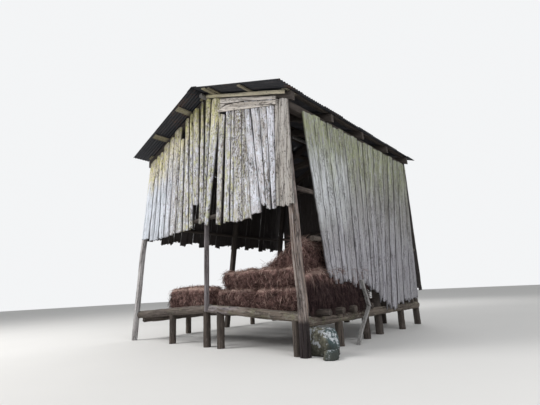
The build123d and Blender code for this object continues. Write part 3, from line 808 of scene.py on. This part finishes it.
def trued(name, node, to_own, material, seed, wear=0.004, spacing=0.08, edge=0.008):
    """A node's solids as they are, with worn edges, cut across and made uneven along their own Y."""
    parts = clean_solids(node)
    for k, bm in enumerate(parts):
        def worn(p):
            return wear * (0.5 * rough(p.x * 9 + k, p.y * 3.1, p.z * 9 + seed) - 0.5)

        bmesh.ops.transform(bm, matrix=to_own, verts=bm.verts)
        if edge:
            bmesh.ops.bevel(bm, geom=long_edges(bm), offset=edge, offset_type="OFFSET", affect="EDGES",
                            segments=2, profile=0.5, material=-1)
        low, high = corners_of([v.co for v in bm.verts])
        cut_rows(bm, low.y, high.y, spacing)
        bm.normal_update()
        grain = [Vector((v.co.x, v.co.z, v.co.y)) for v in bm.verts]
        push_out(bm, worn)
        mark_grain(bm, seed + k, grain)
        bmesh.ops.transform(bm, matrix=to_own.inverted(), verts=bm.verts)
    piece_of(parts, name, material, [node], sharp=40)


def wall_frame(right, up, out):
    """Turns the barn's axes into a wall's own: across, up and out."""
    return Matrix((right, up, out)).to_4x4()


left_lean = radians(10)
front_wall = wall_frame((1, 0, 0), (0, 0, 1), (0, -1, 0))
back_wall = wall_frame((-1, 0, 0), (0, 0, 1), (0, 1, 0))
right_wall = wall_frame((0, 1, 0), (0, 0, 1), (1, 0, 0))
left_wall = wall_frame((0, -1, 0), (sin(left_lean), 0, cos(left_lean)),
                       (-cos(left_lean), 0, sin(left_lean)))
along_boards = wall_frame((0, 0, -1), (1, 0, 0), (0, -1, 0))
right_slope = wall_frame((outward, 0, -downward), (0, 1, 0), (downward, 0, outward))
left_slope = wall_frame((outward, 0, downward), (0, 1, 0), (-downward, 0, outward))
down_right = wall_frame((0, -1, 0), (outward, 0, -downward), (downward, 0, outward))
down_left = wall_frame((0, 1, 0), (-outward, 0, -downward), (-downward, 0, outward))
level_along = wall_frame((1, 0, 0), (0, 1, 0), (0, 0, 1))


# Round and hewn timbers

def timber_rod(segments, cuts):
    """A rod of height 1 round Z, cut across at even steps, with a ring inside each end."""
    bm = bmesh.new()
    bmesh.ops.create_cone(bm, cap_ends=True, cap_tris=False, segments=segments, radius1=1, radius2=1,
                          depth=1)
    caps = [face for face in bm.faces if len(face.verts) > 4]
    bmesh.ops.inset_individual(bm, faces=caps, thickness=0.12, depth=0)
    rails = [edge for edge in bm.edges if abs(edge.verts[0].co.z - edge.verts[1].co.z) > 0.5]
    bmesh.ops.subdivide_edges(bm, edges=rails, cuts=cuts, use_grid_fill=True)
    return bm


def stick(stations, seed, power=2.0, segments=24, spacing=0.07, lumps=0.03, bow=0.0, cracks=0,
          crack_depth=0.012, level=(1, 0, 0), end_wear=0.0):
    """Timber through stations, each its middle and half its width and depth there.

    A power of 2 makes it round, and a higher one hewn square with rounded corners.
    """
    start, end = stations[0][0], stations[-1][0]
    along = end - start
    length = along.length
    along.normalize()
    if abs(along.z) > 0.8:
        level, over = Vector((1, 0, 0)), Vector((0, 1, 0))
    else:
        level = Vector(level)
        level = (level - along * level.dot(along)).normalized()
        over = along.cross(level)
    pick = random.Random(seed)
    shift = pick.uniform(0, 90)
    bends = [pick.uniform(-1, 1) * bow for _ in range(4)]
    splits = [(pick.uniform(0, 2 * pi), pick.uniform(0, 50)) for _ in range(cracks)]
    half_step = pi / segments
    marks = [(place - start).dot(along) / length for place, _ in stations]
    bm = timber_rod(segments, max(2, round(length / spacing)))
    grain = []
    for vertex in bm.verts:
        share = vertex.co.z + 0.5
        spread = vertex.co.xy.length
        angle = atan2(vertex.co.y, vertex.co.x)
        square = (abs(cos(angle)) ** power + abs(sin(angle)) ** power) ** (-1 / power)
        far = share * length
        reach = square * (1 + lumps * rough(cos(angle) * 1.3 + shift, sin(angle) * 1.3, far * 2.6)
                          + 0.5 * lumps * rough(cos(angle) * 3 + shift, sin(angle) * 3, far * 7))
        k = max(i for i in range(len(marks) - 1) if marks[i] <= share + 1e-6 or i == 0)
        between = min(max((share - marks[k]) / (marks[k + 1] - marks[k]), 0), 1)
        centre = stations[k][0].lerp(stations[k + 1][0], between)
        half = Vector(stations[k][1]).lerp(Vector(stations[k + 1][1]), between)
        inward = 0
        for turn, phase in splits:
            line = turn + 0.22 * rough(far * 1.1, phase, 2)
            gap = abs((angle - line + pi) % (2 * pi) - pi)
            if gap < half_step:
                inward += crack_depth * max(0, min(1, 0.5 + 2.2 * rough(far * 0.9, phase, 9)))
        x = cos(angle) * reach * half.x * spread
        y = sin(angle) * reach * half.y * spread
        if spread > 0.95:
            shrink = 1 - inward / max(hypot(x, y), 0.01)
            x, y = x * shrink, y * shrink
        grain.append(Vector((x, y, far)))
        once, twice = sin(pi * share), 0.5 * sin(2 * pi * share)
        x += bends[0] * once + bends[1] * twice
        y += bends[2] * once + bends[3] * twice
        off = 0
        if end_wear and (share < 0.001 or share > 0.999):
            off = (1 if share < 0.5 else -1) * end_wear * max(0, rough(x * 30, y * 30, shift) + 0.3)
        vertex.co = centre + along * off + level * x + over * y
    bmesh.ops.recalc_face_normals(bm, faces=bm.faces)
    mark_grain(bm, seed, grain)
    return bm


def crooked(name, node, material, seed, **look):
    """A standing timber that bends at the heights where its solid has corners."""
    bm = clean_solids(node)[0]
    rings = {}
    for vertex in bm.verts:
        rings.setdefault(round(vertex.co.z, 2), []).append(vertex.co.copy())
    bm.free()
    stations = []
    for height in sorted(rings):
        low, high = corners_of(rings[height])
        stations.append(((low + high) / 2, ((high.x - low.x) / 2, (high.y - low.y) / 2)))
    piece_of([stick(stations, seed, **look)], name, material, [node])


def ends_of(bm):
    """Long axis of a straight solid, and its middle and half sizes at each end."""
    places = [v.co.copy() for v in bm.verts]
    low, high = corners_of(places)
    size = high - low
    axis = max(range(3), key=lambda i: size[i])
    found = []
    near_end = 0.05 * size[axis] + 0.03
    for limit in (low[axis], high[axis]):
        below, above = corners_of([p for p in places if abs(p[axis] - limit) < near_end])
        centre = (below + above) / 2
        centre[axis] = limit
        found.append((centre, (above - below) / 2))
    return axis, found


def timbers(name, nodes, material, seed, **look):
    """The straight solids of some nodes, each worked as one stick."""
    parts = []
    for node in nodes:
        for k, bm in enumerate(clean_solids(node)):
            axis, ends = ends_of(bm)
            bm.free()
            level = (0, 1, 0) if axis == 0 else (1, 0, 0)
            first, second = [i for i in range(3) if i != axis]
            stations = [(centre, (half[first], half[second])) for centre, half in ends]
            parts.append(stick(stations, seed + k, level=level, **look))
        seed += 40
    piece_of(parts, name, material, nodes)


# Corrugated roof

def roof_sheets(name, node, side, seed):
    """Corrugated sheets over the CAD ones, each a little out of line."""
    sheet_pitch, half_wave, clearance, thickness = 0.076, 0.009, 0.004, 0.003
    dents, worn_edge = 0.002, 0.008
    points_per_wave = 10
    parts = []
    for k, bm in enumerate(clean_solids(node)):
        places = [(abs(v.co.x - ridge_x), v.co.y, v.co.z) for v in bm.verts]
        bm.free()
        y0, y1 = min(p[1] for p in places), max(p[1] for p in places)
        runs = [p[0] * outward - p[2] * downward for p in places]
        seat = min(p[0] * downward + p[2] * outward for p in places)
        pick = random.Random(seed + k)
        sheet = bmesh.new()
        bmesh.ops.create_grid(sheet, x_segments=10, size=0.5,
                              y_segments=max(4, round((y1 - y0) / sheet_pitch * points_per_wave)))
        skew = pick.uniform(-0.003, 0.003)
        slip = pick.uniform(-0.012, 0.008)
        grain = []
        for vertex in sheet.verts:
            down, over = vertex.co.x + 0.5, vertex.co.y + 0.5
            y = y0 + (y1 - y0) * over
            rise = seat + clearance + half_wave * (1 - cos(2 * pi * (y - y0) / sheet_pitch))
            rise += dents * rough(down * 3, y * 1.3, seed) + skew * (over - 0.5)
            far = min(runs) + (max(runs) - min(runs) + slip) * down
            if down > 0.99:
                far -= worn_edge * abs(rough(y * 9, seed, 3))
            grain.append(Vector((y, far, 0)))
            across = far * outward + rise * downward
            vertex.co = Vector((ridge_x + side * across, y, rise * outward - far * downward))
        mark_grain(sheet, seed + k, grain)
        bmesh.ops.recalc_face_normals(sheet, faces=sheet.faces)
        parts.append(sheet)
    piece = piece_of(parts, name, sheet_steel, [node], sharp=60)
    steel = piece.modifiers.new("steel", "SOLIDIFY")
    steel.thickness = thickness
    steel.offset = 0


# Hay

def bale_body(low, high, seed, cuts, comb):
    """A bale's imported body, rounded over at its edges, with strands combed down its faces."""
    round_power, puff, shaded_side_tone = 5.0, 0.035, 0.42
    bm = bmesh.new()
    bmesh.ops.create_cube(bm, size=2)
    bmesh.ops.subdivide_edges(bm, edges=bm.edges, cuts=cuts, use_grid_fill=True)
    centre = (low + high) / 2
    half = (high - low) / 2
    grain, tones = [], []
    for vertex in bm.verts:
        x, y, z = vertex.co
        pull = (abs(x) ** round_power + abs(y) ** round_power + abs(z) ** round_power) ** (-1 / round_power)
        p = Vector((x * half.x, y * half.y, z * half.z)) * pull
        out = Vector((x * pull / half.x, y * pull / half.y, z * pull / half.z)).normalized()
        run = Vector((p.x, p.y, p.z)) if comb == "x" else Vector((p.y, p.x, p.z))
        bump = rough((p.x + seed) * 2.6, p.y * 2.6, p.z * 3.4)
        bump += 0.45 * rough(run.x * 24 + seed, run.y * 3, run.z * 3)
        p += out * (bump - 0.6) * puff
        p.z -= 0.25 * puff * (1 + rough(p.x * 2, p.y * 2, seed))
        grain.append(run)
        # Painted light: the tone rises from the shaded sides to the lit top.
        tones.append(shaded_side_tone + (1 - shaded_side_tone) * max(0, min(1, (z * pull - 0.4) / 0.5)))
        vertex.co = centre + p
    mark_grain(bm, seed, grain)
    keep_number(bm, "tone", tones)
    bmesh.ops.recalc_face_normals(bm, faces=bm.faces)
    return bm


def strand_section(name, thick):
    """The three-sided section that every strand has."""
    shape = bpy.data.curves.new(name + "_section", "CURVE")
    shape.dimensions = "2D"
    ring = shape.splines.new("POLY")
    ring.points.add(2)
    for point, angle in zip(ring.points, (0.5, 2.6, 4.7)):
        point.co = (thick * cos(angle), thick * 0.7 * sin(angle), 0, 1)
    ring.use_cyclic_u = True
    return placed(name + "_section", shape)


def wisps(name, spots, seed):
    """Strands of hay as a curve of many short runs, each three-sided, made a mesh."""
    strand_thickness, root_depth, bend = 0.0045, 0.01, 0.14
    section = strand_section(name, strand_thickness)
    curve = bpy.data.curves.new(name, "CURVE")
    curve.dimensions = "3D"
    curve.bevel_mode = "OBJECT"
    curve.bevel_object = section
    curve.use_fill_caps = True
    pick = random.Random(seed)
    for place, out, hang, length in spots:
        run = curve.splines.new("POLY")
        run.points.add(2)
        side = any_way(pick)
        side = (side - out * side.dot(out)).normalized()
        lie = (side * (1 - hang) + Vector((0, 0, -1)) * hang).normalized()
        lie = (lie - out * lie.dot(out) * 0.7).normalized()
        stand = pick.uniform(0.1, 1) ** 2
        middle_lift, tip_lift = 0.012 + 0.035 * stand, 0.004 + 0.05 * stand * stand
        root = place - out * root_depth
        middle = place + lie * length * 0.5 + out * middle_lift + any_way(pick) * length * bend
        tip = place + lie * length + out * tip_lift
        tip.z -= 0.2 * length * stand
        for point, co, width in zip(run.points, (root, middle, tip), (0.9, 1.0, 0.35)):
            point.co = (*co, 1)
            point.radius = width * pick.uniform(0.6, 1.3)
    bm = mesh_after(placed(name, curve))
    bpy.data.objects.remove(section)
    bmesh.ops.remove_doubles(bm, verts=bm.verts, dist=1e-6)
    tone_strands(bm, spots, pick)
    return bm


def tone_strands(bm, spots, pick):
    """Give each strand its own tone at random, with a painted highlight where it leaves a top."""
    grain_layer = bm.verts.layers.float_vector.new("grain")
    tone_layer = bm.verts.layers.float.new("tone")
    roots = kdtree.KDTree(len(spots))
    for k, spot in enumerate(spots):
        roots.insert(spot[0], k)
    roots.balance()
    for shell in shells_of(bm):
        nearest = min((roots.find(vertex.co) for vertex in shell), key=lambda hit: hit[2])
        # A strand that leaves a top is made paler, as a painted highlight.
        facing = max(0, spots[nearest[1]][1].z)
        shade = pick.uniform(0.15, 0.85) + 0.5 * facing * (1 - 0.5 * pick.random())
        for vertex in shell:
            vertex[tone_layer] = shade
            vertex[grain_layer] = vertex.co


def spots_on(bm, count, pick, hang, lengths):
    """Places on a mesh where wisps leave it: each a point, its outward direction and how it lies."""
    top_hang = 0.15
    faces = bm.faces[:]
    areas = list(accumulate(face.calc_area() for face in faces))
    spots = []
    for target in sorted(pick.uniform(0, areas[-1]) for _ in range(count)):
        face = faces[min(bisect_left(areas, target), len(faces) - 1)]
        a, b, c = face.verts[0].co, face.verts[1].co, face.verts[2].co
        u, v = pick.random(), pick.random()
        if u + v > 1:
            u, v = 1 - u, 1 - v
        if len(face.verts) > 3 and pick.random() < 0.5:
            b = face.verts[3].co
        place = a + (b - a) * u + (c - a) * v
        down = hang if abs(face.normal.z) < 0.6 else top_hang
        spots.append((place, face.normal.copy(), down, pick.uniform(*lengths)))
    return spots


def hay_done(parts, name, node, finish):
    piece = piece_of(parts, name, finish, [node], sharp=60)


def hay_piece(name, node, seed, count, hang, cuts, lengths=(0.06, 0.2), comb="x", finish=hay_finish):
    """The bales of one node, with their wisps."""
    parts = []
    spots = []
    pick = random.Random(seed)
    solids = clean_solids(node)
    for k, bm in enumerate(solids):
        low, high = corners_of([v.co for v in bm.verts])
        bm.free()
        body = bale_body(low, high, seed + k, cuts, comb)
        spots += spots_on(body, count // len(solids), pick, hang, lengths)
        parts.append(body)
    parts.append(wisps(name, spots, seed))
    hay_done(parts, name, node, finish)


def softened(node, voxel, times):
    """A node's shape as an even mesh with its edges rounded off."""
    piece = object_from(copy_of(node), node + "_shape", stone_finish)
    even = piece.modifiers.new("even", "REMESH")
    even.mode = "VOXEL"
    even.voxel_size = voxel
    bm = mesh_after(piece)
    for _ in range(times):
        bmesh.ops.smooth_vert(bm, verts=bm.verts, factor=0.5, use_axis_x=True, use_axis_y=True,
                              use_axis_z=True)
    bm.normal_update()
    return bm


def loose_heap(name, node, seed, count):
    """The heap's own shape, softened, with its strands run down the slope."""
    body_tone, lump_height = 0.45, 0.035

    def lump(p):
        broad = rough(p.x * 3.3 + seed, p.y * 3.3, p.z * 3.3)
        combed = rough(p.x * 6 + p.z * 6, p.y * 22 + p.x * 9, seed)
        return (0.7 * broad + 0.5 * combed - 0.6) * lump_height

    bm = softened(node, voxel=0.035, times=3)
    push_out(bm, lump)
    mark_grain(bm, seed, [Vector((v.co.x - v.co.z, v.co.y, v.co.x + v.co.z)) for v in bm.verts])
    keep_tone(bm, body_tone)
    spots = spots_on(bm, count, random.Random(seed), hang=0.6, lengths=(0.12, 0.34))
    hay_done([bm, wisps(name, spots, seed)], name, node, hay_finish)


# Stones

def field_stone(name, node, seed):
    """A rough stone inside its CAD block."""
    lump_height = 0.02

    def lump(p):
        broad = rough(p.x * 5 + seed, p.y * 5, p.z * 5)
        return (broad + 0.45 * rough(p.x * 15, p.y * 15 + seed, p.z * 15) - 0.3) * lump_height

    bm = softened(node, voxel=0.025, times=4)
    push_out(bm, lump)
    for vertex in bm.verts:
        vertex.co.z = max(vertex.co.z, 0)
    mark_grain(bm, seed, [vertex.co.copy() for vertex in bm.verts])
    piece_of([bm], name, stone_finish, [node], sharp=180)


# The barn

lay_floor()
pale_world()

left_tones = (0.9, 0.8, 0.95, 0.85, 0.9, 0.6, 0.8, 0.5, 0.85, 0.7, 0.6, 0.9, 0.95, 0.7, 0.9, 0.85, 0.8)
right_tones = (0.45, 0.75, 0.6, 0.7, 0.35, 0.85, 0.8, 0.6, 0.95, 0.3, 0.3, 0.3, 0.3)
slab_wall("gable_slabs_left", "front_slabs_left", front_wall, gable_slabs, 100, left_tones, bulge=0.018,
          round_head=0.04)
slab_wall("gable_slabs_right", "front_slabs_right", front_wall, gable_slabs, 200, right_tones, bulge=0.009,
          round_head=0.04)
slab_wall("wall_slabs_near", "right_slabs_front", right_wall, side_slabs, 300, wane=0.014, bulge=0.008,
          ragged=0.16)
slab_wall("wall_slabs_far", "right_slabs_back", right_wall, side_slabs, 400, wane=0.014, bulge=0.008,
          ragged=0.14)
slab_wall("leaning_slabs", "left_slabs", left_wall, grey_wood, 500)
slab_wall("back_gable_slabs", "back_slabs", back_wall, grey_wood, 600, row=0.09, column=0.05)
slab_wall("sloping_top_boards", "top_boards", along_boards, board_wood, 700, bulge=0.006, ragged=0.02,
          groove=0.003, warp=0.004)
slab_wall("verge_board", "verge_plank", along_boards, verge_wood, 720, wane=0.003, bulge=0.003, ragged=0.01,
          groove=0.002, warp=0.003)

crooked("near_post", "front_right_post", post_wood, 800, power=3.6, segments=48, spacing=0.04, lumps=0.05,
        cracks=9, crack_depth=0.02)
crooked("far_front_post", "front_left_post", pale_post, 820, power=3.4, segments=36, lumps=0.045, cracks=5)
timbers("middle_post", ["front_middle_post"], lilac_post, 830, power=2.6, segments=32, lumps=0.06,
        bow=0.012, cracks=4)
timbers("side_posts", ["left_side_post", "right_side_post"], dark_wood, 840, power=3.6, cracks=3)
timbers("rear_posts", ["back_posts"], dark_wood, 850, power=3.6, cracks=3)
timbers("sills_front", ["front_sills"], log_wood, 900, segments=32, spacing=0.05, lumps=0.08, bow=0.01,
        cracks=3, end_wear=0.02)
timbers("sills_side", ["left_sill", "right_sill", "back_sill"], log_wood, 910, segments=28, spacing=0.06,
        lumps=0.10, bow=0.01, cracks=2, end_wear=0.02)
timbers("stubs", ["sill_stubs"], brown_log, 930, lumps=0.06, cracks=2)
timbers("pole_floor", ["floor_poles"], brown_log, 940, lumps=0.07, bow=0.012, cracks=1, segments=20,
        end_wear=0.02)
timbers("rails_front", ["front_rail"], dark_wood, 950, lumps=0.07, bow=0.008, segments=16)
timbers("rails_right", ["right_rails"], brown_log, 960, lumps=0.07, bow=0.008, segments=20, end_wear=0.01)
timbers("rails_left_and_back", ["left_rail", "back_rails"], dark_wood, 970, lumps=0.07, bow=0.006,
        segments=16)
sawn = {"power": 9, "segments": 32, "lumps": 0.02}
timbers("plates", ["left_wall_plate", "right_wall_plate"], dark_wood, 980, cracks=2, **sawn)
timbers("ties", ["tie_beams"], dark_wood, 985, cracks=2, **sawn)
timbers("king_post_timbers", ["king_posts"], dark_wood, 990, **sawn)
timbers("ridge_log", ["ridge_pole"], grey_wood, 995, lumps=0.04, cracks=1, end_wear=0.01)

trued("right_purlin_planks", "right_purlins", right_slope, plank_wood, 1000)
trued("left_purlin_planks", "left_purlins", left_slope, plank_wood, 1020)
trued("right_rafter_timbers", "right_rafters", down_right, dark_wood, 1040, edge=0.015)
trued("left_rafter_timbers", "left_rafters", down_left, dark_wood, 1060, edge=0.015)
trued("prop", "crooked_prop", front_wall, grey_wood, 1080, wear=0.006, spacing=0.04, edge=0)
trued("cap_sheet", "ridge_cap", level_along, sheet_steel, 1090, wear=0.003, spacing=0.1, edge=0)

roof_sheets("sheets_right", "right_roof_sheets", 1, 1200)
roof_sheets("sheets_left", "left_roof_sheets", -1, 1250)

hay_piece("bale_left", "hay_left_bale", 1300, 3500, hang=0.4, cuts=22)
hay_piece("bales_lower", "hay_lower_row", 1310, 7000, hang=0.4, cuts=22)
hay_piece("bales_upper", "hay_upper_row", 1320, 6000, hang=0.5, cuts=22)
hay_piece("bales_inner", "hay_inner_bales", 1330, 3000, hang=0.5, cuts=8)
loose_heap("heap", "loose_hay", 1340, 5000)
hay_piece("hay_at_wall", "side_hay", 1350, 8000, hang=0.92, cuts=20, lengths=(0.1, 0.32), comb="y",
          finish=shaded_hay)

field_stone("stone_under_sill", "sill_stone", 1400)
field_stone("stone_beside_post", "low_stone", 1410)
